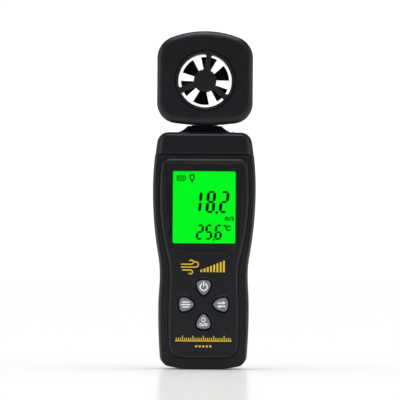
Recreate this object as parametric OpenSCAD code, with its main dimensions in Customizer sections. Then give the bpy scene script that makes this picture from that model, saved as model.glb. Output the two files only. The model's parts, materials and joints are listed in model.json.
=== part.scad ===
// Hand-held vane anemometer: a swivelling head with a six-blade impeller on a battery-powered case.
// Frame: +Z up, front of the case towards -Y, origin under the centre of the foot.

/* [Case] */
// Height of the shoulder above the foot
shoulder_z = 114.45; // [114:0.05:115]
// Height of the seam between the shells and the top cap
seam_z = 103.5; // [103:0.1:104]
// Depth of the case from the panel face to the back
case_d = 30; // [29.8:0.1:30.6]
// Half-width at the widest part of the case
bulge_hw = 24.95; // [24.8:0.05:25.2]
// Height of the widest part
bulge_z = 86.4; // [85:0.1:88]
// Half-width at the waist
waist_hw = 21.35; // [21.2:0.05:21.5]
// Height of the waist
waist_z = 45.5; // [44:0.1:47]
// Half-width of the lower swell
swell_hw = 21.95; // [21.8:0.05:22.1]
// Height of the lower swell
swell_z = 28.6; // [27:0.1:30]
// Half-width of the flat foot
foot_hw = 3; // [3:0.1:5]

/* [Head] */
// Height of the impeller's axis
vane_z = 139.2; // [139:0.1:139.5]
// Half-width of the head
head_hw = 23.05; // [22.9:0.05:23.2]
// Top of the head
head_top_z = 163; // [162.8:0.1:163.2]
// Bottom of the head
head_bottom_z = 117.75; // [117.7:0.05:117.9]
// Depth of the head
head_d = 26; // [26:0.1:26.4]

/* [Vane] */
// Inside radius of the duct
duct_r = 12.9; // [12.7:0.1:13]
// Outside radius of the duct
rim_r = 14.4; // [14.3:0.1:14.5]
// Radius at the tips of the blades
tip_r = 11.6; // [11.4:0.1:11.8]
// Radius of the impeller's hub
hub_r = 5.5; // [5.3:0.1:5.6]
// Number of blades
blades = 6; // [5:1:7]
// Angle between a blade and the plane of the impeller
blade_pitch = 45; // [40:1:48]
// Angle of the first blade from straight up
blade_phase = 10; // [0:1:20]
// Number of struts on a guard
struts = 3; // [3:1:4]
// Angle of the first strut from straight up
strut_phase = 8; // [0:1:20]

/* [Buttons] */
// Height of the centre of the button cross
keys_z = 31.3; // [31:0.1:31.5]
// Distance from that centre to the middle of a button
key_reach = 8.6; // [8.5:0.1:8.8]
// How far a button travels
key_travel = 0.6; // [0.4:0.1:0.7]

/* [Battery] */
// Radius of an AAA cell
cell_r = 5.25; // [5.15:0.05:5.25]
// Length of an AAA cell with its nub
cell_l = 44.5; // [43.5:0.1:44.5]
// Distance between the cells' axes
cell_pitch = 10.9; // [10.7:0.1:11]

/* [Hidden] */
$fn = 64;
gap = 0.05;                       // between pieces that only touch
wall = 1.8;
front_y = -case_d / 2;            // face of the raised panel
border_y = front_y + 0.8;         // face of the border round the panel
back_y = case_d / 2;
part_y = -2;                      // plane between the two shells
front_wall_y = front_y + 2.4;     // inside of the front wall
rear_wall_y = back_y - wall;      // inside of the rear wall
deck_z = seam_z - gap / 2;        // top of the shells
deck_t = 1.7;
cap_z = seam_z + gap / 2;         // bottom edge of the cap
shoulder_r = 5.8;
upper_bulge_r = 150;
bottom_corner_r = 4.9;
bottom_turn = 12.5;               // slope of the bottom where it meets its corners
side_turn = 4.3;                  // slope of the sides just above the bottom corners
// How far the outside is drawn in at each depth: [inset, y], front to back
front_profile = [[2.5, border_y], [2, border_y + 0.15], [1.65, border_y + 0.5], [1.55, border_y + 0.9],
                 [1.35, part_y - 0.4]];
rear_profile = [[0.4, 0.4], [0, 3], [0, 8], [0.35, 11], [1.1, 13.2], [2, 14.4], [3, back_y]];
board_y = -6.6;                   // front face of the main board
board_t = 1.6;
board_hw = 17.2;
board_z = [9.5, 97];
display_hw = 15.4;                // opening for the display
display_z = [60.2, 95.8];
case_screw_at = [[18.9, 99.4], [14, 5.9]];
case_boss_r = 2.1;
board_screw_at = [[15, 54.8], [14.6, 13.4]];
cap_screw_at = [12, 5];
screw_r = 1;
head_r = 1.85;                    // radius of a screw head
// Neck
shaft_r = 5.2;
collar_z = 117.4;
bush_z = 112.1;                   // bottom of the bush inside the cap
cable_r = 2.2;
lead_r = 1;
lead_split_z = 108.6;             // where the two leads meet on the swivel axis
neck_disc_r = 6.4;
washer_r = 7.2;
// Strap bar
strap_x = 13.8;
strap_z = 113.8;
strap_y = [7.6, 12];
// Battery bay
bay_z = [13, 63];
bay_hw = 16.6;
bay_wall_y = 0.6;
bay_wall = 1.2;
cell_y = 7.2;
door_hw = 17.15;
door_y = 13.5;
door_top_z = 65.6;
hinge = [14.05, 10.4];            // y and z of the door's hinge line
hinge_r = 0.95;
hinge_pin_r = 0.6;
hinge_pin_x = 18.2;
// Head
head_edge_r = 3;
head_screw_at = [[16.4, 152.7], [16.2, 125.7]];
guard_y = 12.6;                   // outer face of a guard from the middle of the head
guard_t = 1.8;
guard_hub_r = 5.4;
axle_r = 0.5;
axle_l = 7.2;                     // half-length of the impeller's shaft
bearing_y = [5.4, 7.6];
flange_r = 6.6;                   // the neck's flange inside the head
flange_z = [119.6, 120.8];
sensor_z = 122;
duct_shoulder_r = rim_r + 0.4;
// Buttons: centroid to corner centre, corner radius, side radius, half the turn of a corner
key_d = 2.57;
key_corner_r = 1.33;
key_side_r = 6.49;
key_half_turn = 34.3;
key_slim = 0.92;                  // width of a button against that of an even-sided one
key_top_y = front_y - 0.5;
key_flange_y = [front_wall_y + 0.1, front_wall_y + 0.9];
plunger_y = [-10.9, -9.5];
plunger_r = 1.7;
switch_y = -10.1;
key_angle = [0, -90, 90, 180];    // power, mode, unit and light button round the cross

// ---------- outlines ----------
// They are chains of tangent arcs, each [signed radius, first normal, last normal, steps].
function normal(a) = [cos(a), sin(a)];
function chain_at(arcs, start, k) =
    k == 0 ? start
           : chain_at(arcs, start, k - 1) + arcs[k - 1][0] * (normal(arcs[k - 1][2]) - normal(arcs[k - 1][1]));
function chain(arcs, start) = [
    for (k = [0:len(arcs) - 1])
        let (arc = arcs[k], from = chain_at(arcs, start, k), last = k == len(arcs) - 1)
        for (i = [0:arc[3] - (last ? 0 : 1)])
            from + arc[0] * (normal(arc[1] + (arc[2] - arc[1]) * i / arc[3]) - normal(arc[1]))];
function open_end(points) = [for (i = [0:len(points) - 2]) points[i]];
function both_sides(half) = concat(half, [for (i = [len(half) - 1:-1:0]) [-half[i][0], half[i][1]]]);

// Two arcs that turn out and back again join a swell to a waist dz away and dx narrower.
function bend_turn(dx, dz) = 2 * atan(dx / dz);
function bend_radius(dx, dz) = dz / sin(bend_turn(dx, dz));
// Radii of the bottom arc and of the side arc between the corner and the swell.
function lower_radii(hw, z, foot, corner, turn, side) = let (
    a1 = sin(turn), b1 = 1 - cos(side), c1 = hw - foot - corner * (cos(side) - sin(turn)),
    a2 = 1 - cos(turn), b2 = sin(side), c2 = z - corner * (cos(turn) - sin(side)))
    [(c1 * b2 - c2 * b1) / (a1 * b2 - a2 * b1), (a1 * c2 - a2 * c1) / (a1 * b2 - a2 * b1)];
// Right half of a waisted outline, foot to top corner: hw and z hold its swell, waist and bulge.
function waisted(hw, z, foot, base_z, corner, turn, side, upper_r, inset, top_z, top_r) = let (
    radii = lower_radii(hw[0], z[0] - base_z, foot, corner, turn, side),
    low = bend_turn(hw[0] - hw[1], z[1] - z[0]), low_r = bend_radius(hw[0] - hw[1], z[1] - z[0]) / 2,
    high = bend_turn(hw[2] - hw[1], z[2] - z[1]), high_r = bend_radius(hw[2] - hw[1], z[2] - z[1]),
    end = asin((top_z - top_r - z[2]) / (upper_r - inset - top_r)))
    chain([[radii[0] - inset, -90, turn - 90, 3], [corner - inset, turn - 90, -side, 5],
           [radii[1] - inset, -side, 0, 3], [low_r - inset, 0, low, 2], [-low_r - inset, low, 0, 2],
           [-0.22 * high_r - inset, 0, -high, 3], [0.78 * high_r - inset, -high, 0, 5],
           [upper_r - inset, 0, end, 3], [top_r, end, 90, 3]], [foot, base_z + inset]);
// The case at an inset, with its bottom and top kept at their own heights.
function case_half(inset, bottom = 0, top = deck_z) =
    waisted([swell_hw, waist_hw, bulge_hw], [swell_z, waist_z, bulge_z], foot_hw, bottom - inset,
            bottom_corner_r, bottom_turn, side_turn, upper_bulge_r, inset, top, 0.5);
function panel_half(inset) =
    waisted([16.9, 16.4, 21.4], [24, waist_z, 84], 5, 5.6, 5.6, 7, 2, 180, inset, 101.5 - inset, 3.2 - inset);
function cap_half(inset, drop = 0) = let (
    r = upper_bulge_r - inset, low = asin((cap_z - drop - bulge_z) / r),
    turn = asin((shoulder_z - 4.8 - bulge_z) / upper_bulge_r))
    chain([[r, low, turn, 3], [shoulder_r - inset, turn, 70, 5], [shoulder_r - inset, 70, 90, 2]],
          [bulge_hw - upper_bulge_r + r * cos(low), cap_z - drop]);
function head_half(inset) = let (
    bottom_r = 105, low_corner = 9.5, top_r = 45, high_corner = 10.7, first = -89, last = 89,
    turn = asin((head_hw - low_corner) / (bottom_r - low_corner)),
    high = asin((head_hw - high_corner) / (top_r - high_corner)))
    concat(chain([[bottom_r - inset, first, turn - 90, 3], [low_corner - inset, turn - 90, 0, 7]],
                 [0, head_bottom_z + bottom_r] + (bottom_r - inset) * normal(first)),
           chain([[high_corner - inset, 0, 90 - high, 7], [top_r - inset, 90 - high, last, 3]],
                 [head_hw - inset, head_top_z - top_r + (top_r - high_corner) * cos(high)]));

// A closed solid through rings of [half outline, y]; no half touches the middle line.
module ring_loft(rings) {
    half_n = len(rings[0][0]);
    n = 2 * half_n;
    points = [for (r = rings) for (p = both_sides(r[0])) [p[0], r[1], p[1]]];
    skin = [for (k = [0:len(rings) - 2]) for (i = [0:n - 1])
        [k * n + i, k * n + (i + 1) % n, (k + 1) * n + (i + 1) % n, (k + 1) * n + i]];
    e = (len(rings) - 1) * n;
    first = [for (i = [0:half_n - 2]) [i, n - 1 - i, n - 2 - i, i + 1]];
    last = [for (i = [0:half_n - 2]) [e + i, e + i + 1, e + n - 2 - i, e + n - 1 - i]];
    polyhedron(points = points, faces = concat(skin, first, last));
}

// ---------- small helpers ----------
module along_y(x, z, from, to, r) {
    translate([x, from, z]) rotate([-90, 0, 0]) cylinder(r = r, h = to - from);
}
module box(x, y, z) {
    translate([x[0], y[0], z[0]]) cube([x[1] - x[0], y[1] - y[0], z[1] - z[0]]);
}
module prism(points, from, to) {
    translate([0, to, 0]) rotate([90, 0, 0]) linear_extrude(to - from) polygon(points);
}
module both_x() {
    children();
    mirror([1, 0, 0]) children();
}
module at_case_screws() {
    both_x() for (at = case_screw_at) translate([at[0], 0, at[1]]) children();
}
module at_board_screws() {
    both_x() for (at = board_screw_at) translate([at[0], 0, at[1]]) children();
}
module at_head_screws() {
    both_x() for (at = head_screw_at) translate([at[0], 0, at[1]]) children();
}
module at_key(k) {
    translate([0, 0, keys_z]) rotate([0, key_angle[k], 0]) children();
}

// ---------- case ----------
module front_shell() {
    inner = 3.1;
    color("#1c1d20") difference() {
        union() {
            ring_loft(concat(
                [[panel_half(0.9), front_y], [panel_half(0.1), front_y + 0.7], [panel_half(0), front_y + 1.1],
                 [panel_half(-0.3), front_y + 1.1]],
                [for (p = front_profile) [case_half(p[0], max(0, p[0] - 1.55)), p[1]]],
                [[case_half(1.5, 0.3), part_y - gap], [case_half(inner, wall, deck_z - deck_t), part_y - gap],
                 [case_half(inner + 0.8, 2.6, deck_z - deck_t), front_wall_y]]));
            at_case_screws() along_y(0, 0, front_wall_y - 0.5, part_y - gap, case_boss_r);
            at_board_screws() along_y(0, 0, front_wall_y - 0.5, board_y - gap, 1.8);
        }
        window_prism(0.1, front_y - 1, front_y + 1.35);
        box([-display_hw, display_hw], [front_y, front_wall_y + 1], display_z);
        for (k = [0:3]) at_key(k) {
            key_prism(0.3, front_y - 1, front_wall_y + 1);
            key_prism(0.75, front_y - 1, front_y + 0.4);
        }
        at_case_screws() along_y(0, 0, front_wall_y + 0.4, part_y + 1, screw_r + 0.05);
        at_board_screws() along_y(0, 0, front_wall_y + 0.4, board_y + 1, screw_r + 0.05);
    }
}
// The window widens upwards and has a bowed lower edge.
function window_half(grow) = let (bow_r = 52, corner = 2, taper = 3.7) concat(
    chain([[bow_r + grow, -90, -73, 4], [corner + grow, -73, -taper, 4]], [0, 56.2 - grow]),
    chain([[corner + grow, -taper, 90, 5]], [19 + grow, 97.2]));
module window_prism(grow, from, to) {
    prism(open_end(both_sides(window_half(grow))), from, to);
}
module display_window() {
    color("#0d0e10") window_prism(0, front_y + 0.05, front_y + 1.3);
}
module rear_shell() {
    color("#1b1c1f") difference() {
        union() {
            ring_loft(concat(
                [for (p = [[3.4, rear_wall_y], [2.2, 9], [2.2, 3], [3.1, part_y + gap]])
                    [case_half(p[0], wall, deck_z - deck_t), p[1]]],
                [[case_half(1.5, 0.3), part_y + gap],
                 [case_half(1.1, 0), part_y + 0.45]],
                [for (p = rear_profile) [case_half(p[0], max(0, p[0] - 0.4)), p[1]]]));
            at_case_screws() along_y(0, 0, part_y + gap, rear_wall_y + 0.5, case_boss_r);
            box([-bay_hw - bay_wall, bay_hw + bay_wall], [bay_wall_y, rear_wall_y + 0.3],
                [bay_z[0] - bay_wall, bay_z[1] + bay_wall]);
            box([-hinge_pin_x - 0.3, hinge_pin_x + 0.3], [11.6, rear_wall_y + 0.3], [8.5, 12]);
        }
        box([-bay_hw, bay_hw], [bay_wall_y + bay_wall, back_y + 1], bay_z);
        box([-door_hw - 0.15, door_hw + 0.15], [door_y - gap, back_y + 1],
            [hinge[1] + 0.5, door_top_z + 0.15]);
        box([-door_hw - 0.15, door_hw + 0.15], [hinge[0], back_y + 1], [hinge[1] - 1.15, hinge[1] + 1]);
        translate([-door_hw - 0.15, hinge[0], hinge[1]]) rotate([0, 90, 0])
            cylinder(r = hinge_r + 0.15, h = 2 * door_hw + 0.3);
        translate([-hinge_pin_x - 0.15, hinge[0], hinge[1]]) rotate([0, 90, 0])
            cylinder(r = hinge_pin_r + 0.06, h = 2 * hinge_pin_x + 0.3);
        at_case_screws() along_y(0, 0, part_y - 1, back_y, screw_r + 0.2);
        at_case_screws() along_y(0, 0, back_y - 1.6, back_y + 1, head_r + 0.15);
        translate([0, 0, deck_z - deck_t - 1]) cylinder(r = lead_r + 0.5, h = deck_t + 2);
        both_x() translate([cap_screw_at[0], cap_screw_at[1], deck_z - deck_t - 1])
            cylinder(r = screw_r + 0.2, h = deck_t + 2);
        both_x() box([9.9, 11.9], [bay_wall_y - 1, bay_wall_y + bay_wall + 1],
                     [bay_z[0] + 0.2, bay_z[0] + 1.2]);
    }
}
module top_cap() {
    color("#1c1d20") {
        difference() {
            union() {
                difference() {
                    ring_loft([for (p = concat(front_profile, rear_profile)) [cap_half(p[0] + 0.15), p[1]]]);
                    ring_loft([for (p = [[3.9, front_wall_y], [3.4, part_y], [2.3, 3], [2.3, 9],
                                         [3.7, rear_wall_y]]) [cap_half(p[0], 1), p[1]]]);
                }
                collar();
                both_x() translate([cap_screw_at[0], cap_screw_at[1], cap_z])
                    cylinder(r = 2.4, h = shoulder_z - 1 - cap_z);
                along_y(strap_x, strap_z, strap_y[0] - 0.8, rear_wall_y + 0.2, 4.2);
            }
            translate([0, 0, bush_z - 1]) cylinder(r = shaft_r + 0.06, h = collar_z - bush_z + 2);
            translate([0, 0, cap_z]) cylinder(r = washer_r + 0.3, h = bush_z - cap_z);
            translate([0, -12.4, collar_z + 4.8]) sphere(r = 8.2);
            along_y(strap_x, strap_z + 0.4, strap_y[0], strap_y[1], 3);
            box([strap_x - 6, strap_x + 6], [strap_y[0] - 2, back_y], [shoulder_z + 0.1, collar_z + 3]);
            both_x() translate([cap_screw_at[0], cap_screw_at[1], cap_z - 1])
                cylinder(r = screw_r + 0.05, h = 7.4);
        }
        along_y(strap_x, strap_z, strap_y[0] - 0.6, strap_y[1] + 0.6, 0.95);
    }
}
// Flared collar round the neck with the bush it turns in.
module collar() {
    neck_r = 8.5;
    flare = [4.4, 2.6];           // how far the flare spreads and drops
    rotate_extrude() polygon(concat(
        [[shaft_r - 1, bush_z], [12.9, bush_z], [12.9, shoulder_z - 0.2]],
        [for (a = [0:15:75]) [neck_r + flare[0] * pow(1 - sin(a), 0.6), collar_z - 0.3 - flare[1] * cos(a)]],
        [[neck_r, collar_z - 0.3], [neck_r - 0.3, collar_z], [shaft_r - 1, collar_z]]));
}

// ---------- display ----------
module window_gasket() {
    color("#303236") difference() {
        box([-16.9, 16.9], [front_wall_y + gap, -11.9], [59.2, 96.8]);
        box([-display_hw - 0.1, display_hw + 0.1], [front_y, -11], [display_z[0] - 0.1, display_z[1] + 0.1]);
    }
}
module lcd_panel() {
    color("#20d030") box([-16.9, 16.9], [-11.85, -9.75], [59.2, 96.8]);
}
module lcd_holder() {
    color("#d8d8d4") difference() {
        box([-17.85, 17.85], [front_wall_y + 0.2, board_y - gap], [57.7, 97.5]);
        box([-17.05, 17.05], [front_y, -9.72], [59, 97]);
        box([-15.1, 15.1], [-10, board_y + 1], [58.9, 95.5]);
    }
}
module backlight() {
    color("#b8f0b0") box([-15, 15], [-9.65, -7.4], [61, 95.3]);
}
module zebra_strip() {
    color("#cfa0b0") box([-14.5, 14.5], [-9.7, board_y - gap], [59.3, 60.8]);
}

// ---------- electronics ----------
module main_board() {
    color("#12602e") difference() {
        box([-board_hw, board_hw], [board_y, board_y + board_t], board_z);
        at_board_screws() along_y(0, 0, board_y - 1, board_y + board_t + 1, screw_r + 0.15);
    }
}
module microcontroller() {
    body = 5;
    chip_z = 73;
    board_back = board_y + board_t + gap;
    color("#151515") box([-body, body], [board_back + 0.3, board_back + 1.7], [chip_z - body, chip_z + body]);
    color("#c8c8c8") for (side = [0:3]) translate([0, 0, chip_z]) rotate([0, 90 * side, 0])
        for (i = [-5:5])
            box([body - 0.2, body + 1], [board_back, board_back + 0.5], [0.8 * i - 0.18, 0.8 * i + 0.18]);
}
module board_parts() {
    board_back = board_y + board_t + gap;
    color("#c9b37a") for (i = [0:5])
        box([-13 + 5 * i, -11 + 5 * i], [board_back, board_back + 0.9], [65.6, 66.8]);
    color("#303030") along_y(-11, 86, board_back, board_back + 5, 4.2);
    color("#b8bcc0") box([8, 12.6], [board_back, board_back + 3.4], [80, 90.6]);
}
module switch_bases() {
    for (k = [0:3]) at_key(k) translate([0, 0, key_reach]) color("#25262a") difference() {
        box([-3, 3], [switch_y, board_y - gap], [-3, 3]);
        along_y(0, 0, switch_y - 1, plunger_y[1] + key_travel + 0.1, plunger_r + 0.06);
    }
}
module board_socket() {
    color("#e8e4d8") difference() {
        box([-4, 4], [board_y + board_t + gap, 1.4], [80, 88]);
        box([-3.2, 3.2], [-4.2, 0.8], [81.2, 89]);
    }
}
module lead_plug() {
    color("#f0ece0") box([-3.1, 3.1], [-4.1, 0.7], [81.3, 89.6]);
    color("#f0ece0") box([-3.6, 3.6], [-4.1, 1.3], [88.1, 91]);
}
module board_lead() {
    color("#8a1f1f") translate([0, 0, 91.05]) cylinder(r = lead_r, h = lead_split_z - 91.05);
}
module battery_leads() {
    color("#8a1f1f") both_x()
        along_y(cell_pitch, bay_z[0] + 0.7, board_y + board_t + gap, bay_wall_y - 0.4, 0.6);
}

// ---------- screws ----------
module screw(length, head_t) {
    cylinder(r = screw_r, h = length);
    translate([0, 0, length]) difference() {
        cylinder(r = head_r, h = head_t);
        for (a = [0, 90]) rotate([0, 0, a]) translate([-1.1, -0.25, head_t - 0.6]) cube([2.2, 0.5, 1]);
    }
}
module case_screws() {
    start_y = -10;
    color("#8d9196") at_case_screws() translate([0, start_y, 0]) rotate([-90, 0, 0])
        screw(back_y - 1.55 - start_y, 1.3);
}
module cap_screws() {
    length = 8;
    color("#8d9196") both_x() translate([cap_screw_at[0], cap_screw_at[1], deck_z - deck_t - gap + length])
        rotate([180, 0, 0]) screw(length, 1.3);
}
module board_screws() {
    start_y = -11.5;
    color("#8d9196") at_board_screws() translate([0, start_y, 0]) rotate([-90, 0, 0])
        screw(board_y + board_t + gap - start_y, 1.2);
}
module head_screws() {
    start_y = -7;
    color("#8d9196") at_head_screws() translate([0, start_y, 0]) rotate([-90, 0, 0])
        screw(head_d / 2 - 1.55 - start_y, 1.3);
}

// ---------- battery ----------
// A cell is upright or turned over about the middle of the bay.
module turned(over) {
    middle = (bay_z[0] + bay_z[1]) / 2;
    translate([0, cell_y, middle]) rotate([over ? 180 : 0, 0, 0]) translate([0, 0, -middle]) children();
}
module cell(x, over) {
    bottom = bay_z[1] - 0.55 - cell_l;
    turned(over) translate([x, 0, bottom]) {
        color("#2f6db3") cylinder(r = cell_r, h = 32);
        color("#e0b040") translate([0, 0, 32]) cylinder(r = cell_r, h = cell_l - 33);
        color("#c0c4c8") translate([0, 0, cell_l - 1]) cylinder(r = 1.9, h = 1);
    }
}
module aaa_cell_1() { cell(-cell_pitch, false); }
module aaa_cell_2() { cell(0, true); }
module aaa_cell_3() { cell(cell_pitch, false); }
// Coil of round wire, widest at its foot, made of rings of points swept round the axis.
module spring(height, foot_r, top_r, wire_r, turns) {
    steps = 14;
    sides = 5;
    n = steps * turns;
    points = [for (i = [0:n]) let (a = 360 * i / steps, r = foot_r + (top_r - foot_r) * i / n,
                                   z = wire_r + (height - 2 * wire_r) * i / n)
        for (j = [0:sides - 1]) let (b = 360 * j / sides)
            [(r + wire_r * cos(b)) * cos(a), (r + wire_r * cos(b)) * sin(a), z + wire_r * sin(b)]];
    skin = [for (i = [0:n - 1]) for (j = [0:sides - 1])
        [i * sides + j, i * sides + (j + 1) % sides, (i + 1) * sides + (j + 1) % sides, (i + 1) * sides + j]];
    polyhedron(points = points, faces = concat(skin, [[for (j = [sides - 1:-1:0]) j]],
                                               [[for (j = [0:sides - 1]) n * sides + j]]));
}
module battery_springs() {
    color("#b9bdc2") for (i = [-1:1]) turned(i == 0) translate([i * cell_pitch, 0, bay_z[0] + 0.45])
        spring(4.4, 3.6, 2.2, 0.3, 4);
}
module battery_contacts() {
    color("#c2c6ca") for (i = [-1:1]) turned(i == 0) translate([i * cell_pitch, 0, 0]) {
        box([-4.2, 4.2], [-4.6, 4.6], [bay_z[0] + gap, bay_z[0] + 0.35]);
        box([-3.4, 3.4], [-4.6, 3.4], [bay_z[1] - 0.35, bay_z[1] - gap]);
    }
    color("#c2c6ca") both_x()
        box([10.2, 11.6], [bay_wall_y - 0.3, cell_y - 4.5], [bay_z[0] + gap + 0.35, bay_z[0] + 0.85]);
}
module battery_door() {
    color("#1d1e21") {
        box([-door_hw, door_hw], [door_y, back_y], [hinge[1], door_top_z]);
        translate([-door_hw, hinge[0], hinge[1]]) rotate([0, 90, 0]) cylinder(r = hinge_r, h = 2 * door_hw);
        translate([-hinge_pin_x, hinge[0], hinge[1]]) rotate([0, 90, 0])
            cylinder(r = hinge_pin_r, h = 2 * hinge_pin_x);
        for (i = [0:4])
            box([-5 + i * 0.5, 5 - i * 0.5], [back_y - 0.1, back_y + 0.35], [56 + 1.5 * i, 56.7 + 1.5 * i]);
    }
}
module door_pad() {
    color("#4a4c50") box([-13, 13], [cell_y + cell_r + 0.1, door_y - gap], [32, 44]);
}

// ---------- head ----------
// Half of the head's case, its outside drawn in along a quarter circle at the face.
module head_shell() {
    face = head_d / 2;
    difference() {
        union() {
            ring_loft(concat(
                [for (t = [0:18:90])
                    [head_half(head_edge_r * (1 - sin(t))), -face + head_edge_r * (1 - cos(t))]],
                [[head_half(0.12), -0.5], [head_half(0.3), -gap], [head_half(wall), -gap],
                 [head_half(wall + 0.3), -face + 3], [head_half(wall + 1.4), -face + wall]]));
            at_head_screws() along_y(0, 0, -face + wall - 0.5, -gap, 2.1);
        }
        along_y(0, vane_z, -face - 1, 1, rim_r + gap);
        translate([0, 0, head_bottom_z - 1]) cylinder(r = 4.7, h = wall + 2);
        translate([0, 0, flange_z[0] - gap]) cylinder(r = flange_r + 0.2, h = 2);
    }
}
module head_front_shell() {
    color("#1c1d20") difference() {
        head_shell();
        at_head_screws() along_y(0, 0, -8, 1, screw_r + 0.05);
    }
}
module head_rear_shell() {
    color("#1c1d20") difference() {
        rotate([0, 0, 180]) head_shell();
        at_head_screws() along_y(0, 0, -1, head_d / 2 + 1, screw_r + 0.2);
        at_head_screws() along_y(0, 0, head_d / 2 - 1.6, head_d / 2 + 1, head_r + 0.15);
    }
}
// Turns a profile of radius and depth round the impeller's axis.
module round_y(profile) {
    translate([0, 0, vane_z]) rotate([90, 0, 0]) rotate_extrude() polygon(profile);
}
module vane_duct() {
    e = head_d / 2 - 0.05;
    shoulder = head_d / 2 - wall - gap;   // captive between the walls of the head
    half = [[duct_r, -10.6], [13.45, -10.6], [13.45, -e + 0.5], [13.9, -e], [rim_r, -e], [rim_r, -shoulder],
            [duct_shoulder_r, -shoulder]];
    color("#17181b") round_y(concat(half, [for (i = [len(half) - 1:-1:0]) [half[i][0], -half[i][1]]]));
}
// Guard with its ring, struts and bearing post, drawn for the rear of the head.
module guard(mirrored) {
    post_r = 2.4;
    inner_y = guard_y - guard_t;
    mirror([0, mirrored ? 1 : 0, 0]) difference() {
        union() {
            round_y([[duct_r, -guard_y], [13.4, -guard_y], [13.4, -inner_y], [duct_r, -inner_y]]);
            along_y(0, vane_z, inner_y, guard_y, guard_hub_r);
            along_y(0, vane_z, bearing_y[0], inner_y + 0.2, post_r);
            for (i = [0:struts - 1]) translate([0, 0, vane_z])
                rotate([0, strut_phase + 360 * i / struts, 0])
                    prism([[-1.25, guard_hub_r - 0.5], [1.25, guard_hub_r - 0.5], [1.25, duct_r - 1.6],
                           [1.7, duct_r - 0.7], [2.4, duct_r + 0.1], [-2.4, duct_r + 0.1],
                           [-1.7, duct_r - 0.7], [-1.25, duct_r - 1.6]], inner_y + 0.1, guard_y - 0.15);
        }
        along_y(0, vane_z, bearing_y[0] - 1, bearing_y[1] + gap, 1.5 + 0.02);
    }
}
module front_guard() {
    color("#24262b") guard(true);
}
module rear_guard() {
    color("#24262b") guard(false);
}
// Cup bearing with a blind running bore for the end of the shaft.
module bearing() {
    difference() {
        along_y(0, vane_z, bearing_y[0], bearing_y[1], 1.5);
        along_y(0, vane_z, bearing_y[0] - 1, axle_l + 0.1, axle_r + 0.06);
    }
}
module front_bearing() {
    color("#c9a24a") mirror([0, 1, 0]) bearing();
}
module rear_bearing() {
    color("#c9a24a") bearing();
}
module sensor_board() {
    color("#12602e") difference() {
        box([-10, 10], [-8, 8], [sensor_z, sensor_z + 1]);
        translate([0, 0, sensor_z - 1]) cylinder(r = 0.6, h = 3);
    }
}
module hall_sensor() {
    color("#151515") box([-2, 2], [-0.8, 0.8], [sensor_z + 1 + gap, vane_z - duct_shoulder_r - 0.1]);
}
module thermistor() {
    color("#d9a520") translate([7.5, 0, sensor_z + 1.1]) {
        translate([0, 0, 1.2]) sphere(r = 1, $fn = 32);
        for (x = [-0.5, 0.5]) translate([x, 0, 0]) cylinder(r = 0.2, h = 0.8);
    }
}
module neck() {
    disc_top = head_bottom_z - 0.06;
    stem_r = 4.6;
    color("#101114") rotate_extrude() polygon([
        [cable_r, 109.4], [shaft_r - 0.4, 109.4], [shaft_r, 109.8], [shaft_r, 110.3],
        [shaft_r - 0.8, 110.3], [shaft_r - 0.8, 111.3], [shaft_r, 111.3], [shaft_r, collar_z + gap],
        [neck_disc_r, collar_z + gap], [neck_disc_r, disc_top], [stem_r, disc_top], [stem_r, flange_z[0]],
        [flange_r, flange_z[0]], [flange_r, flange_z[1]], [cable_r, flange_z[1]]]);
}
module neck_clip() {
    color("#a8acb0") rotate([0, 0, 120]) rotate_extrude(angle = 300)
        polygon([[shaft_r - 0.72, 110.38], [7, 110.38], [7, 111.22], [shaft_r - 0.72, 111.22]]);
}
module neck_washer() {
    color("#c7cacd") rotate_extrude()
        polygon([[shaft_r + 0.1, 111.4], [washer_r, 111.4], [washer_r, bush_z - gap],
                 [shaft_r + 0.1, bush_z - gap]]);
}
module head_lead() {
    color("#8a1f1f") translate([0, 0, lead_split_z + gap])
        cylinder(r = lead_r, h = sensor_z - lead_split_z - 2 * gap);
}

// ---------- impeller ----------
module blade() {
    root_w = 4.9;
    tip_w = 11.6;
    translate([0, 0, hub_r - 0.9]) rotate([0, 0, blade_pitch]) translate([0, 0.4, 0]) rotate([90, 0, 0])
        linear_extrude(0.8)
            polygon([[-root_w / 2, 0], [root_w / 2, 0], [tip_w / 2, tip_r - hub_r + 1],
                     [-tip_w / 2, tip_r - hub_r + 1]]);
}
module impeller() {
    hub_l = 4.4;
    color("#0f1013") difference() {
        union() {
            along_y(0, vane_z, -hub_l, hub_l, hub_r);
            intersection() {
                along_y(0, vane_z, -hub_l, hub_l, tip_r);
                for (i = [0:blades - 1]) translate([0, 0, vane_z])
                    rotate([0, blade_phase + 360 * i / blades, 0]) blade();
            }
        }
        along_y(0, vane_z, -hub_l - 1, hub_l + 1, axle_r + 0.02);
        along_y(0, vane_z, 2, hub_l + 1, 3.52);
    }
}
module impeller_shaft() {
    color("#c8ccd0") along_y(0, vane_z, -axle_l, axle_l, axle_r);
}
module impeller_magnet() {
    color("#6a6d72") difference() {
        along_y(0, vane_z, 2 + gap, 4, 3.5);
        along_y(0, vane_z, 1, 5, axle_r + 0.05);
    }
}

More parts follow.
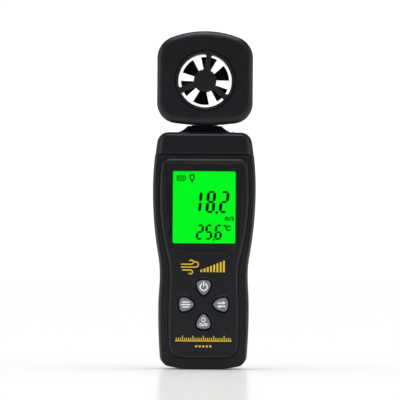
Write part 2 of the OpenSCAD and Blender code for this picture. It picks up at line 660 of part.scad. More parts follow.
// ---------- buttons ----------
// Three-sided outline of bulged sides and round corners, pointing towards the middle of the cross.
function key_outline(grow) = let (first = -90 - key_half_turn, even = open_end(chain(
    [for (k = [0:2]) for (side = [0, 1]) let (a = first + 120 * k, b = a + 2 * key_half_turn)
        side == 0 ? [key_corner_r + grow, a, b, 4] : [key_side_r + grow, b, a + 120, 4]],
    [0, key_reach - key_d] + (key_corner_r + grow) * normal(first))))
    [for (p = even) [key_slim * p[0], p[1]]];
module key_prism(grow, from, to) {
    prism(key_outline(grow), from, to);
}
module key_cap(k) {
    color("#a2a5aa") at_key(k) {
        key_prism(-0.35, key_top_y, key_top_y + 0.4);
        key_prism(0, key_top_y + 0.35, key_flange_y[1]);
        key_prism(0.85, key_flange_y[0], key_flange_y[1]);
        along_y(0, key_reach, key_flange_y[0], plunger_y[0] - gap, 2.3);
    }
}
module key_plunger(k) {
    color("#c0392b") at_key(k) along_y(0, key_reach, plunger_y[0], plunger_y[1], plunger_r);
}
module power_button() { key_cap(0); }
module mode_button() { key_cap(1); }
module unit_button() { key_cap(2); }
module light_button() { key_cap(3); }
module power_plunger() { key_plunger(0); }
module mode_plunger() { key_plunger(1); }
module unit_plunger() { key_plunger(2); }
module light_plunger() { key_plunger(3); }

front_shell();
rear_shell();
top_cap();
display_window();
window_gasket();
lcd_panel();
lcd_holder();
backlight();
zebra_strip();
main_board();
microcontroller();
board_parts();
switch_bases();
board_socket();
lead_plug();
board_lead();
case_screws();
cap_screws();
board_screws();
aaa_cell_1();
aaa_cell_2();
aaa_cell_3();
battery_springs();
battery_contacts();
battery_leads();
neck_washer();
battery_door();
door_pad();
head_front_shell();
head_rear_shell();
vane_duct();
front_guard();
rear_guard();
front_bearing();
rear_bearing();
head_screws();
sensor_board();
hall_sensor();
thermistor();
neck();
neck_clip();
head_lead();
impeller();
impeller_shaft();
impeller_magnet();
power_button();
mode_button();
unit_button();
light_button();
power_plunger();
mode_plunger();
unit_plunger();
light_plunger();
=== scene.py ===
import json
from math import asin, atan, cos, degrees, pi, radians, sin, sqrt, tan

import bmesh
import bpy
from mathutils import Matrix, Vector
from mathutils.geometry import delaunay_2d_cdt

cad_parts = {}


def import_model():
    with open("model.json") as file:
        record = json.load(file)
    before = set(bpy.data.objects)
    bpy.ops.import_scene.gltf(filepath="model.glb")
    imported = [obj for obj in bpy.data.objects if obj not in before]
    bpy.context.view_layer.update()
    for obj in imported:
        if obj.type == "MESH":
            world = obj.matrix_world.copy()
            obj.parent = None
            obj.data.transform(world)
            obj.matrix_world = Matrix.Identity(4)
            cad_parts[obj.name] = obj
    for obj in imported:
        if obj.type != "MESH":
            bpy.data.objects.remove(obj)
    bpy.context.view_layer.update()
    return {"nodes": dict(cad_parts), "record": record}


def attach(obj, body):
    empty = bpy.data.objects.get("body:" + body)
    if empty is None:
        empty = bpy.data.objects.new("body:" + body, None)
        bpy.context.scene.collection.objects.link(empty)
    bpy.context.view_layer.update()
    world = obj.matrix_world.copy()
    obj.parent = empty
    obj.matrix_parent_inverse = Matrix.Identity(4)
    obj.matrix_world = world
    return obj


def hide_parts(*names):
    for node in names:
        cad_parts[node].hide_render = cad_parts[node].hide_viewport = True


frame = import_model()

MM = 0.001

# Names end in _X, _Y or _Z for a place, _R for a radius, _HW for a half width and _T for a thickness.
# ---------------- sizes shared with the CAD part
FRONT_Y = -15.0
BORDER_Y = -14.2
BACK_Y = 15.0
PART_Y = -2.0
FRONT_WALL_Y = -12.6
REAR_WALL_Y = 13.2
WALL = 1.8
SEAM_Z = 103.5
INNER_TOP_Z = SEAM_Z - 1.7
BULGE_HW = 24.95
BULGE_Z = 86.4
UPPER_R = 150
SHOULDER_Z = 114.45
SHOULDER_R = 5.8
SHOULDER_H = 4.8
COLLAR_Z = 117.4
SHAFT_R = 5.2
VANE_Z = 139.2
HEAD_FACE_Y = -13.0
HEAD_EDGE = 3.0
HEAD_SCREWS = ((16.4, 152.7), (16.2, 125.7))
CASE_SCREWS = ((18.9, 99.4), (14, 5.9))
SCREW_BORE_R = 2.0
SCREW_SINK = 1.6
DUCT_R = 12.9
RIM_R = 14.4
TIP_R = 11.6
HUB_R = 5.5
GUARD_HUB_R = 5.4
GUARD_Y = 12.6
GUARD_T = 1.8
KEYS_Z = 31.3
KEY_REACH = 8.6
KEY_TOP_Y = -15.5
KEY_FLANGE_Y = (-12.5, -11.7)
KEY_TURN = {"power": 0, "mode": 90, "unit": -90, "light": 180}
DOOR_HW = 17.15
DOOR_Y = 13.5
DOOR_TOP_Z = 65.6
HINGE = (14.05, 10.4)
HINGE_R = 0.95
PIN_R = 0.6
PIN_X = 18.2
WINDOW_SEAT_Y = -13.65
DISPLAY_X = (-15.4, 15.4)
DISPLAY_Z = (60.2, 95.8)
LCD_Y = -11.85
STRAP = (13.8, 113.8)

# ---------------- sizes of the finer shapes
EDGE_R = 0.3
BORDER_IN = 1.15  # how far the border lies inside the case's outline
SEAM_GAP = 0.25  # opening of the seam on each side of SEAM_Z
SEAM_DEPTH = 0.8
CAP_RISE = 1.0  # how much higher the cap's roof is at the front
COLLAR_FLAT = 0.82  # the collar's depth as a share of its width
HEAD_FRONT_EDGE = 3.8
KEY_SLIM = 0.92  # narrows a button across the line to the middle of the cross
KEY_EDGE = 0.5
INK_Y = (LCD_Y - 0.06, LCD_Y - 0.02)
PRINT_Y = (FRONT_Y - 0.03, FRONT_Y + 0.05)
SIGN_Y = (KEY_TOP_Y - 0.03, KEY_TOP_Y + 0.05)
SHARP_ANGLE = 32  # edges with a larger angle than this, in degrees, stay sharp
MERGE = 0.0004  # points closer than this become one
# Section of the panel's edge, as (distance inside its outline, depth): a soft bevel, then a groove.
PANEL_EDGE = ((1.3, FRONT_Y), (1.05, FRONT_Y + 0.05), (0.3, FRONT_Y + 0.55), (0.1, FRONT_Y + 0.75),
              (0, FRONT_Y + 1.1), (-0.28, FRONT_Y + 1.15), (-0.32, BORDER_Y + 0.1), (-0.45, BORDER_Y))
# Section of a button's well, as (distance outside the button, depth): a faint rim, the wall and a ledge.
WELL = ((1.45, FRONT_Y), (1.37, FRONT_Y - 0.1), (1.2, FRONT_Y - 0.17), (1.0, FRONT_Y - 0.13), (0.88, FRONT_Y),
        (0.82, FRONT_Y + 0.2), (0.78, FRONT_Y + 0.5), (0.78, FRONT_Y + 1.8), (0.25, FRONT_Y + 1.9),
        (0.25, FRONT_WALL_Y))
# Section of the window's recess, as (distance outside the pane, depth).
WINDOW_RECESS = ((0.3, FRONT_Y), (0.15, FRONT_Y + 0.1), (0.1, FRONT_Y + 0.3), (0.1, WINDOW_SEAT_Y))
# Section of the pane's edge, as (distance outside its outline, depth), from back to front.
PANE_EDGE = ((0, -13.7), (0, -14.75), (-0.17, -14.92), (-0.37, -14.95))
# Section of the rounded edge of the back, as (distance inside the outline, depth).
BACK_EDGE = tuple((3.0 * (1 - cos(radians(a))), 8.0 + 7.0 * sin(radians(a))) for a in range(10, 91, 10))


# ---------------- outlines
def unit(angle):
    return Vector((cos(radians(angle)), sin(radians(angle))))


def chain(arcs, start):
    """Tangent arcs, each (signed radius, first normal, last normal, steps), as one line of points."""
    points = [Vector(start)]
    for radius, first, last, steps in arcs:
        centre = points[-1] - radius * unit(first)
        points += [centre + radius * unit(first + (last - first) * i / steps) for i in range(1, steps + 1)]
    return points


def both_sides(half):
    """Right half of an outline, bottom to top, and its mirror image as a closed loop."""
    return half + [Vector((-p.x, p.y)) for p in reversed(half)]


def circle(x, z, r, steps=64):
    return [Vector((x, z)) + r * unit(360 * i / steps) for i in range(steps)]


def rounded_box(x, z, r, steps=6):
    """Rectangle from (x[0], z[0]) to (x[1], z[1]) with round corners."""
    corners = [(x[1] - r, z[0] + r, -90), (x[1] - r, z[1] - r, 0),
               (x[0] + r, z[1] - r, 90), (x[0] + r, z[0] + r, 180)]
    return [Vector((cx, cz)) + r * unit(a + 90 * i / steps)
            for cx, cz, a in corners for i in range(steps + 1)]


def bend(dx, dz):
    """Turn, and sum of the radii, of the two arcs that join a swell to a waist dz away and dx narrower."""
    turn = 2 * degrees(atan(dx / dz))
    return turn, dz / sin(radians(turn))


def lower_radii(hw, z, foot, corner, turn, side):
    """Radii of the bottom arc and of the side arc that meet at the bottom corner.

    The width and the height from the foot to the swell give two equations for them.
    """
    turn, side = radians(turn), radians(side)
    a1, b1, c1 = sin(turn), 1 - cos(side), hw - foot - corner * (cos(side) - sin(turn))
    a2, b2, c2 = 1 - cos(turn), sin(side), z - corner * (cos(turn) - sin(side))
    det = a1 * b2 - a2 * b1
    return (c1 * b2 - c2 * b1) / det, (a1 * c2 - a2 * c1) / det


def waisted(hw, z, foot, base_z, corner, turn, side, upper_r, inset, top_z, top_r):
    """Right half of a waisted outline, from foot, where the bottom edge starts to curve, to the top.

    hw and z hold its swell, waist and bulge. The bottom corner runs from turn to side, in degrees.
    """
    bottom_r, side_r = lower_radii(hw[0], z[0] - base_z, foot, corner, turn, side)
    low, low_r = bend(hw[0] - hw[1], z[1] - z[0])
    high, high_r = bend(hw[2] - hw[1], z[2] - z[1])
    end = degrees(asin((top_z - top_r - z[2]) / (upper_r - inset - top_r)))
    tight = 0.22  # share that the hollow arc above the waist has of the upper bend's two radii
    return chain([
        (bottom_r - inset, -90, turn - 90, 6), (corner - inset, turn - 90, -side, 12),
        (side_r - inset, -side, 0, 6), (low_r / 2 - inset, 0, low, 5), (-low_r / 2 - inset, low, 0, 5),
        (-tight * high_r - inset, 0, -high, 8), ((1 - tight) * high_r - inset, -high, 0, 12),
        (upper_r - inset, 0, end, 8), (top_r, end, 90, 8)], (foot, base_z + inset))


def seam_dip(depth):
    """How far the edges of the seam below the cap are drawn back at this depth under the surface."""
    return SEAM_GAP if depth < SEAM_DEPTH else 0.0


def case_loop(inset, bottom=0.0, top=SEAM_Z):
    """Outline of the shells, drawn in by inset, with its bottom raised."""
    return both_sides(waisted(
        hw=(21.95, 21.35, BULGE_HW), z=(28.6, 45.5, BULGE_Z), foot=3, base_z=bottom - inset, corner=4.9,
        turn=12.5, side=4.3, upper_r=UPPER_R, inset=inset, top_z=top, top_r=0.5))


def hollow_loop(inset, bottom=WALL):
    """Outline of the space inside the shells."""
    return case_loop(inset, bottom, INNER_TOP_Z)


def panel_loop(inset):
    return both_sides(waisted(
        hw=(16.9, 16.4, 21.4), z=(24, 45.5, 84), foot=5, base_z=5.6, corner=5.6, turn=7, side=2,
        upper_r=180, inset=inset, top_z=101.5 - inset, top_r=4.2 - inset))


def cap_loop(inset, drop=0.0, rise=0.0):
    """Outline of the cap; its top can be raised."""
    r = UPPER_R - inset
    low = degrees(asin((SEAM_Z - drop - BULGE_Z) / r))
    turn = degrees(asin((SHOULDER_Z + rise - SHOULDER_H - BULGE_Z) / UPPER_R))
    start = (BULGE_HW - UPPER_R + r * cos(radians(low)), SEAM_Z - drop)
    return both_sides(chain([(r, low, turn, 6), (SHOULDER_R - inset, turn, 90, 16)], start))


def head_loop(inset):
    half_w, low_corner, high_corner = 23.05, 9.5, 10.7
    bottom_z, bottom_r = 117.75, 105
    top_z, top_r = 163, 45
    turn = degrees(asin((half_w - low_corner) / (bottom_r - low_corner)))
    high = degrees(asin((half_w - high_corner) / (top_r - high_corner)))
    start = Vector((0, bottom_z + bottom_r)) + (bottom_r - inset) * unit(-89)
    low = chain([(bottom_r - inset, -89, turn - 90, 8), (low_corner - inset, turn - 90, 0, 16)], start)
    start = (half_w - inset, top_z - top_r + (top_r - high_corner) * cos(radians(high)))
    high_arcs = [(high_corner - inset, 0, 90 - high, 16), (top_r - inset, 90 - high, 89, 8)]
    return both_sides(low + chain(high_arcs, start))


def window_loop(grow):
    """The window widens upwards and has a bowed lower edge."""
    bow_r, corner_r, taper = 52 + grow, 2 + grow, 3.7
    start = Vector((0, 108.2)) + bow_r * unit(-89)
    low = chain([(bow_r, -89, -73, 12), (corner_r, -73, -taper, 8)], start)
    return both_sides(low + chain([(corner_r, -taper, 90, 10)], (19 + grow, 97.2)))


def key_loop(k, grow):
    """Three bulged sides and round corners; one corner points to the middle of the cross of buttons."""
    centre_r, corner_r, side_r, half_turn = 2.57, 1.33, 6.49, 34.3
    arcs = []
    for i in range(3):
        first = -90 + 120 * i - half_turn
        last = first + 2 * half_turn
        arcs += [(corner_r + grow, first, last, 8), (side_r + grow, last, first + 120, 8)]
    start = Vector((0, KEY_REACH - centre_r)) + (corner_r + grow) * unit(-90 - half_turn)
    turn = Matrix.Rotation(radians(KEY_TURN[k]), 2)
    return [turn @ Vector((KEY_SLIM * p.x, p.y)) + Vector((0, KEYS_Z)) for p in chain(arcs, start)[:-1]]


def key_centre(k):
    return Matrix.Rotation(radians(KEY_TURN[k]), 2) @ Vector((0, KEY_REACH)) + Vector((0, KEYS_Z))


def inside(point, loop):
    """Whether a point lies within a closed loop."""
    crossed = False
    for a, b in zip(loop, loop[1:] + loop[:1]):
        if (a.y > point.y) != (b.y > point.y) and point.x < a.x + (b.x - a.x) * (point.y - a.y) / (b.y - a.y):
            crossed = not crossed
    return crossed


# ---------------- building meshes
class Solid:
    """Points and faces of one piece, in millimetres."""

    def __init__(self):
        self.points = []
        self.faces = []

    def ring(self, loop, y):
        """Adds a closed loop at depth y and returns its point numbers."""
        return self.line([(p.x, y, p.y) for p in loop])

    def line(self, points):
        first = len(self.points)
        self.points += [Vector(p) for p in points]
        return list(range(first, len(self.points)))

    def strip(self, a, b, closed=True):
        n = len(a)
        for i in range(n if closed else n - 1):
            j = (i + 1) % n
            self.faces.append((a[i], a[j], b[j], b[i]))

    def skin(self, sections):
        """Joins sections, each (loop, y), and returns the first and the last ring."""
        rings = [self.ring(loop, y) for loop, y in sections]
        for a, b in zip(rings, rings[1:]):
            self.strip(a, b)
        return rings[0], rings[-1]

    def plate(self, outer, holes=()):
        """Fills the flat face between a ring and the rings of its holes."""
        loops = [outer, *holes]
        flat = [n for loop in loops for n in loop]
        edges = []
        for loop in loops:
            first = len(edges)
            edges += [(first + i, first + (i + 1) % len(loop)) for i in range(len(loop))]
        corners = [Vector((self.points[n].x, self.points[n].z)) for n in flat]
        bounds = [[Vector((self.points[n].x, self.points[n].z)) for n in loop] for loop in loops]
        _, _, faces, sources, _, _ = delaunay_2d_cdt(corners, edges, [], 0, 1e-5)
        for face in faces:
            face = [sources[v][0] for v in face]
            middle = sum((corners[v] for v in face), Vector((0, 0))) / len(face)
            if sum(inside(middle, bound) for bound in bounds) == 1:
                self.faces.append(tuple(flat[v] for v in face))

    def prism(self, loop, y0, y1):
        """Closed prism between two depths."""
        a, b = self.skin([(loop, y0), (loop, y1)])
        self.plate(a)
        self.plate(b)

    def lathe(self, profile, centre=(0, 0), axis="Y", steps=96):
        """Turns a closed profile of (radius, depth) about an axis along Y or Z."""
        rings = []
        for r, d in profile:
            turned = [unit(360 * i / steps) * r for i in range(steps)]
            if axis == "Y":
                rings.append(self.line([(centre[0] + p.x, d, centre[1] + p.y) for p in turned]))
            else:
                rings.append(self.line([(centre[0] + p.x, centre[1] + p.y, d) for p in turned]))
        for a, b in zip(rings, rings[1:] + rings[:1]):
            self.strip(a, b)

    def disc(self, profile, centre=(0, 0), axis="Y", steps=96):
        """Turns an open profile that starts and ends near the axis, and closes both ends."""
        first = len(self.points)
        self.lathe(profile, centre, axis, steps)
        del self.faces[-steps:]
        last = first + steps * (len(profile) - 1)
        self.faces.append(tuple(range(first, first + steps)))
        self.faces.append(tuple(range(last, last + steps)))

    def turn_back(self):
        """Mirrors the piece from the front to the back."""
        for p in self.points:
            p.y = -p.y

    def build(self, name):
        """The piece as a Blender object, in metres."""
        mesh = bpy.data.meshes.new(name)
        bm = bmesh.new()
        verts = [bm.verts.new(p * MM) for p in self.points]
        for face in self.faces:
            bm.faces.new([verts[n] for n in face])
        bmesh.ops.remove_doubles(bm, verts=bm.verts, dist=MERGE * MM)
        bmesh.ops.recalc_face_normals(bm, faces=bm.faces)
        bm.to_mesh(mesh)
        bm.free()
        for poly in mesh.polygons:
            poly.use_smooth = True
        mesh.set_sharp_from_angle(angle=radians(SHARP_ANGLE))
        obj = bpy.data.objects.new(name, mesh)
        bpy.context.collection.objects.link(obj)
        weigh = obj.modifiers.new("weighted normals", "WEIGHTED_NORMAL")
        weigh.keep_sharp = True
        return obj


def curve_steps(steps):
    """Sine and one minus cosine along a quarter turn: a rounded edge from flat to upright."""
    return [(sin(pi / 2 * i / steps), 1 - cos(pi / 2 * i / steps)) for i in range(steps + 1)]


def combine(obj, tool, operation):
    """Adds a second closed mesh to obj or takes it out, and deletes the second one."""
    step = obj.modifiers.new("combine", "BOOLEAN")
    step.operation = operation
    step.solver = "EXACT"
    step.object = tool
    bpy.context.view_layer.objects.active = obj
    obj.modifiers.move(len(obj.modifiers) - 1, 0)
    bpy.ops.object.modifier_apply(modifier="combine")
    bpy.data.objects.remove(tool)


def cut(obj, tool):
    """Takes the tool's volume out of obj."""
    combine(obj, tool, "DIFFERENCE")
    obj.data.set_sharp_from_angle(angle=radians(SHARP_ANGLE))


# ---------------- materials
PLASTIC_BLACK = (0.0044, 0.0054, 0.0100)


def nodes_of(name):
    mat = bpy.data.materials.new(name)
    mat.use_nodes = True
    tree = mat.node_tree
    return mat, tree, tree.nodes["Principled BSDF"]


def noise(tree, scale, detail=3.0, squeeze=(1, 1, 1)):
    """Noise fixed to the object; squeeze packs it more tightly along an axis."""
    where = tree.nodes.new("ShaderNodeTexCoord")
    stretch = tree.nodes.new("ShaderNodeMapping")
    stretch.inputs["Scale"].default_value = squeeze
    field = tree.nodes.new("ShaderNodeTexNoise")
    field.inputs["Scale"].default_value = scale
    field.inputs["Detail"].default_value = detail
    tree.links.new(where.outputs["Object"], stretch.inputs["Vector"])
    tree.links.new(stretch.outputs["Vector"], field.inputs["Vector"])
    return field.outputs["Fac"]


def between(tree, field, low, high):
    """Colour or value that runs from low to high with the field."""
    blend = tree.nodes.new("ShaderNodeValToRGB")
    blend.color_ramp.elements[0].position = 0.3
    blend.color_ramp.elements[1].position = 0.7
    blend.color_ramp.elements[0].color = low
    blend.color_ramp.elements[1].color = high
    tree.links.new(field, blend.inputs["Fac"])
    return blend.outputs["Color"]


def surface(name, colour, roughness, vary=0.12, grain=0.0, grain_scale=9000, patch_scale=60,
            squeeze=(1, 1, 1), **shader):
    """A procedural material: its colour and roughness vary a little in patches, over a fine grain."""
    mat, tree, bsdf = nodes_of(name)
    patches = noise(tree, patch_scale, squeeze=squeeze)
    low = [c * (1 - vary) for c in colour] + [1]
    high = [min(1.0, c * (1 + vary)) for c in colour] + [1]
    tree.links.new(between(tree, patches, low, high), bsdf.inputs["Base Color"])
    rough = tree.nodes.new("ShaderNodeMapRange")
    rough.inputs["To Min"].default_value = roughness * 0.9
    rough.inputs["To Max"].default_value = min(1.0, roughness * 1.1)
    tree.links.new(patches, rough.inputs["Value"])
    tree.links.new(rough.outputs["Result"], bsdf.inputs["Roughness"])
    if grain:
        bump = tree.nodes.new("ShaderNodeBump")
        bump.inputs["Strength"].default_value = grain
        bump.inputs["Distance"].default_value = 0.02 * MM
        tree.links.new(noise(tree, grain_scale, 2.0, squeeze), bump.inputs["Height"])
        tree.links.new(bump.outputs["Normal"], bsdf.inputs["Normal"])
    for socket, value in shader.items():
        bsdf.inputs[socket.replace("_", " ")].default_value = value
    return mat


def case_black():
    return surface("case black", PLASTIC_BLACK, 0.46, grain=0.5)


def head_black():
    return surface("head black", PLASTIC_BLACK, 0.48, grain=0.5)


def duct_black():
    return surface("duct black", (0.0075, 0.0082, 0.010), 0.42, grain=0.3)


def guard_black():
    return surface("guard black", (0.0095, 0.0104, 0.0128), 0.45, grain=0.3)


def impeller_black():
    return surface("impeller black", (0.0085, 0.0088, 0.0098), 0.5, grain=0.2)


def mask_black():
    return surface("mask black", (0.046, 0.048, 0.060), 0.3, vary=0.1)


def key_grey():
    return surface("key grey", (0.19, 0.20, 0.215), 0.45, vary=0.04, grain=0.25)


def print_white():
    return surface("print white", (0.86, 0.87, 0.88), 0.5, vary=0.04)


def print_yellow():
    return surface("print yellow", (0.80, 0.52, 0.02), 0.5, vary=0.06)


def lcd_green():
    """Backlit display: even green light with faint uneven patches."""
    mat, tree, bsdf = nodes_of("lcd green")
    patches = noise(tree, 90)
    glow = between(tree, patches, (0, 0.94, 0.010, 1), (0, 1.0, 0.018, 1))
    tree.links.new(glow, bsdf.inputs["Emission Color"])
    tree.links.new(between(tree, patches, (0, 0.02, 0, 1), (0, 0.04, 0, 1)), bsdf.inputs["Base Color"])
    bsdf.inputs["Emission Strength"].default_value = 1.0
    bsdf.inputs["Roughness"].default_value = 0.5
    bsdf.inputs["Specular IOR Level"].default_value = 0.0
    return mat


def lcd_ink():
    return surface("lcd ink", (0.0005, 0.002, 0.0008), 0.6, vary=0.3, Specular_IOR_Level=0.0)


def window_clear():
    """Clear smooth plastic over the display."""
    mat, tree, bsdf = nodes_of("window clear")
    tint = between(tree, noise(tree, 40), (0.97, 0.98, 0.97, 1), (1, 1, 1, 1))
    tree.links.new(tint, bsdf.inputs["Base Color"])
    bsdf.inputs["Roughness"].default_value = 0.03
    bsdf.inputs["Transmission Weight"].default_value = 1.0
    bsdf.inputs["IOR"].default_value = 1.35
    return mat


def steel():
    return surface("steel", (0.55, 0.56, 0.58), 0.32, vary=0.1, grain=0.2, squeeze=(1, 1, 12), Metallic=1.0)


def spring_steel():
    return surface("spring steel", (0.68, 0.69, 0.71), 0.22, vary=0.06, Metallic=1.0)


def brass():
    return surface("brass", (0.72, 0.50, 0.19), 0.3, vary=0.08, Metallic=1.0)


def magnet_grey():
    return surface("magnet grey", (0.22, 0.22, 0.23), 0.45, Metallic=0.8)


def foam():
    return surface("foam", (0.03, 0.03, 0.034), 0.9, vary=0.3, grain=1.0, grain_scale=2500)


def contact_pink():
    return surface("contact pink", (0.72, 0.38, 0.44), 0.6, grain_scale=3000, grain=0.4)


def white_plastic():
    return surface("white plastic", (0.72, 0.71, 0.67), 0.5, vary=0.05, grain=0.2)


def backlight_white():
    return surface("backlight white", (0.55, 0.85, 0.5), 0.35, vary=0.05)


def board_green():
    return surface("board green", (0.008, 0.12, 0.035), 0.35, vary=0.25, patch_scale=500)


def chip_black():
    return surface("chip black", (0.012, 0.012, 0.013), 0.55, vary=0.2, grain=0.4)


def switch_black():
    return surface("switch black", (0.018, 0.018, 0.02), 0.5, vary=0.15)


def plunger_red():
    return surface("plunger red", (0.45, 0.05, 0.03), 0.4, vary=0.08)


def lead_red():
    return surface("lead red", (0.32, 0.012, 0.01), 0.45, vary=0.1)


def cell_wrap():
    """Glossy blue sleeve of a dry cell."""
    return surface("cell wrap", (0.03, 0.12, 0.36), 0.3, vary=0.1, patch_scale=30)


def thermistor_amber():
    return surface("thermistor amber", (0.55, 0.28, 0.02), 0.25, vary=0.15)


SLOT_LOOKS = {
    "case_plastic": case_black, "head_plastic": head_black, "duct_plastic": duct_black,
    "guard_plastic": guard_black, "impeller_plastic": impeller_black, "door_plastic": case_black,
    "window": window_clear, "lcd": lcd_green, "backlight": backlight_white, "foam": foam,
    "contact_strip": contact_pink, "white_plastic": white_plastic, "board": board_green, "chip": chip_black,
    "switch": switch_black, "plunger": plunger_red, "key_plastic": key_grey, "lead": lead_red, "steel": steel,
    "spring_wire": spring_steel, "cell": cell_wrap, "bearing_brass": brass, "magnet": magnet_grey,
    "thermistor": thermistor_amber,
}
LOOKS = {slot: look() for slot, look in SLOT_LOOKS.items()}
YELLOW = print_yellow()
WHITE = print_white()


def settle(obj, body, slot, stands_for=(), look=None):
    """Gives a piece its look and body, and hides the CAD nodes that it stands for."""
    obj.data.materials.append(look or LOOKS[slot])
    if stands_for:
        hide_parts(*stands_for)
    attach(obj, body)
    return obj


def place(solid, name, body, slot, stands_for=(), look=None):
    """Builds a piece and settles it."""
    return settle(solid.build(name), body, slot, stands_for, look)


def screw_bores(s, places, face_y, inwards, rim, steps):
    """Counterbores with a softened rim on both sides of the middle. inwards is 1 or -1, along Y."""
    bores = []
    for side in (-1, 1):
        for x, z in places:
            bore = circle(side * x, z, SCREW_BORE_R, steps)
            bores.append(s.skin([(circle(side * x, z, SCREW_BORE_R + rim, steps), face_y),
                                 (bore, face_y + inwards * rim), (bore, face_y + inwards * SCREW_SINK)]))
    return bores


# ---------------- case
def case_front():
    """Front shell: raised panel with a soft bevel, a groove, a border and straight sides."""
    shell = Solid()
    key_wells = [shell.skin([(key_loop(k, g), y) for g, y in WELL]) for k in KEY_TURN]
    window = shell.skin([(window_loop(g), y) for g, y in WINDOW_RECESS])
    display = rounded_box(DISPLAY_X, DISPLAY_Z, 0.7)
    opening = shell.skin([(display, y) for y in (WINDOW_SEAT_Y, FRONT_WALL_Y)])
    sections = [(panel_loop(inset), y) for inset, y in PANEL_EDGE]
    for turn, fall in curve_steps(8):
        inset, depth = EDGE_R * (1 - turn), EDGE_R * fall
        sections.append((case_loop(BORDER_IN + inset, inset, SEAM_Z - seam_dip(depth)), BORDER_Y + depth))
    seam_y = BORDER_Y + SEAM_DEPTH
    sections += [(case_loop(BORDER_IN - 0.02, 0.0, SEAM_Z - SEAM_GAP), seam_y),
                 (case_loop(BORDER_IN - 0.02), seam_y + 0.05), (case_loop(BORDER_IN - 0.02), PART_Y - 0.7),
                 (case_loop(1.2), PART_Y - 0.35), (case_loop(1.5, 0.1), PART_Y),
                 (hollow_loop(3.1), PART_Y), (hollow_loop(3.9, 2.6), FRONT_WALL_Y)]
    face, inner = shell.skin(sections)
    shell.plate(face, [window[0], *[well[0] for well in key_wells]])
    shell.plate(window[1], [opening[0]])
    shell.plate(inner, [opening[1], *[well[1] for well in key_wells]])
    place(shell, "case_front", "case", "case_plastic", ["front_shell"])


def case_rear():
    """Rear shell with the recess for the door, the battery bay and counterbores for the screws."""
    s = Solid()
    seat_y = DOOR_Y - 0.05
    mouth = rounded_box((-17.45, 17.45), (9.1, 65.9), 0.7)
    seat = rounded_box((-17.3, 17.3), (9.25, 65.75), 0.6)
    recess = s.skin([(mouth, BACK_Y), (seat, BACK_Y - 0.15), (seat, seat_y)])
    bay_box = rounded_box((-16.6, 16.6), (13, 63), 0.4)
    bay = s.skin([(bay_box, seat_y), (bay_box, 1.8)])
    groove_box = rounded_box((-17.05, 17.05), (9.4, 11.5), 0.2)
    groove = s.skin([(groove_box, seat_y), (groove_box, 12.95)])
    screws = screw_bores(s, CASE_SCREWS, BACK_Y, -1, 0.05, 64)
    outside = [(hollow_loop(3.1), PART_Y), (case_loop(1.6, 0.2), PART_Y),
               (case_loop(1.35, 0.1), PART_Y + 0.12), (case_loop(1.25), PART_Y + 0.35)]
    swell, run = 1.25, 5.0
    outside += [(case_loop(swell * (1 - k)), PART_Y + 0.5 + run * (1 - sqrt(1 - k * k)))
                for k in (0.12, 0.25, 0.4, 0.55, 0.7, 0.82, 0.92)]
    outside += [(case_loop(0), 3.6), (case_loop(0), 8.0)]
    for inset, y in BACK_EDGE:
        outside.append((case_loop(inset, max(0.0, inset - 0.4), SEAM_Z - seam_dip(BACK_Y - y)), y))
    _, back = s.skin(outside)
    hollow = s.skin([(hollow_loop(inset), y)
                     for inset, y in ((3.1, PART_Y), (2.2, 3), (2.2, 9), (3.0, REAR_WALL_Y))])
    box_loop = rounded_box((-17.8, 17.8), (8.5, 64.2), 0.4)
    box_walls = s.skin([(box_loop, REAR_WALL_Y), (box_loop, 0.6)])
    s.plate(back, [recess[0], *[hole[0] for hole in screws]])
    s.plate(recess[1], [bay[0], groove[0]])
    for floor in (bay[1], groove[1], box_walls[1], *[hole[1] for hole in screws]):
        s.plate(floor)
    s.plate(hollow[1], [box_walls[0]])
    obj = place(s, "case_rear", "case", "case_plastic", ["rear_shell"])
    cut(obj, pin_holes())


def pin_holes():
    """Bore for the pins at the ends of the door's barrel."""
    bore_r, end_x = PIN_R + 0.06, PIN_X + 0.15
    pins = Solid()
    pins.disc([(bore_r, -end_x), (bore_r, end_x)], (0, 0), "Z", 32)
    tool = pins.build("pin holes")
    lay_on_hinge(tool)
    return tool


def lay_on_hinge(obj):
    """Turns a mesh made round the Z axis onto the hinge line of the door."""
    to_hinge = Matrix.Translation(Vector((0, *HINGE)) * MM)
    obj.data.transform(to_hinge @ Matrix.Rotation(pi / 2, 4, "Y"))


def cap_sections():
    """Outlines of the cap from front to back; its roof is raised towards the front."""
    edge_in, edge_depth, flat_y, run = 1.6, 1.9, 3.6, 16
    front = [(1.9 + edge_in * (1 - s), BORDER_Y + edge_depth * c) for s, c in curve_steps(8)]
    sides = [(2.0, -2.6), (2.3, -2.3), (2.3, -1.8), (1.3, -1.6), (1.0, -1.25), (0.6, -0.1), (0.3, 1.5),
             (0.15, 3.6), (0.15, 8.0)]
    back = [(0.15 + inset, y) for inset, y in BACK_EDGE]
    sections = []
    for inset, y in front + sides + back:
        rise = CAP_RISE * min(1.0, max(0.0, (flat_y - y) / run))
        groove = seam_dip(min(y - BORDER_Y, BACK_Y - y))
        sections.append((cap_loop(inset, -groove, rise), y))
    return sections


def collar():
    """Flared ring round the neck, flattened from front to back."""
    top_r, top_z, reach, height = 8.5, COLLAR_Z - 0.25, 5.5, 2.9
    flare = [(top_r + reach * (1 - sin(radians(a))) ** 0.6, top_z - height * cos(radians(a)))
             for a in range(0, 90, 9)]
    s = Solid()
    s.disc([(0.01, 111), (13.2, 111), *flare, (top_r, top_z), (top_r - 0.25, COLLAR_Z), (0.01, COLLAR_Z)],
           (0, 0), "Z")
    for p in s.points:
        p.y *= COLLAR_FLAT
    return s.build("collar")


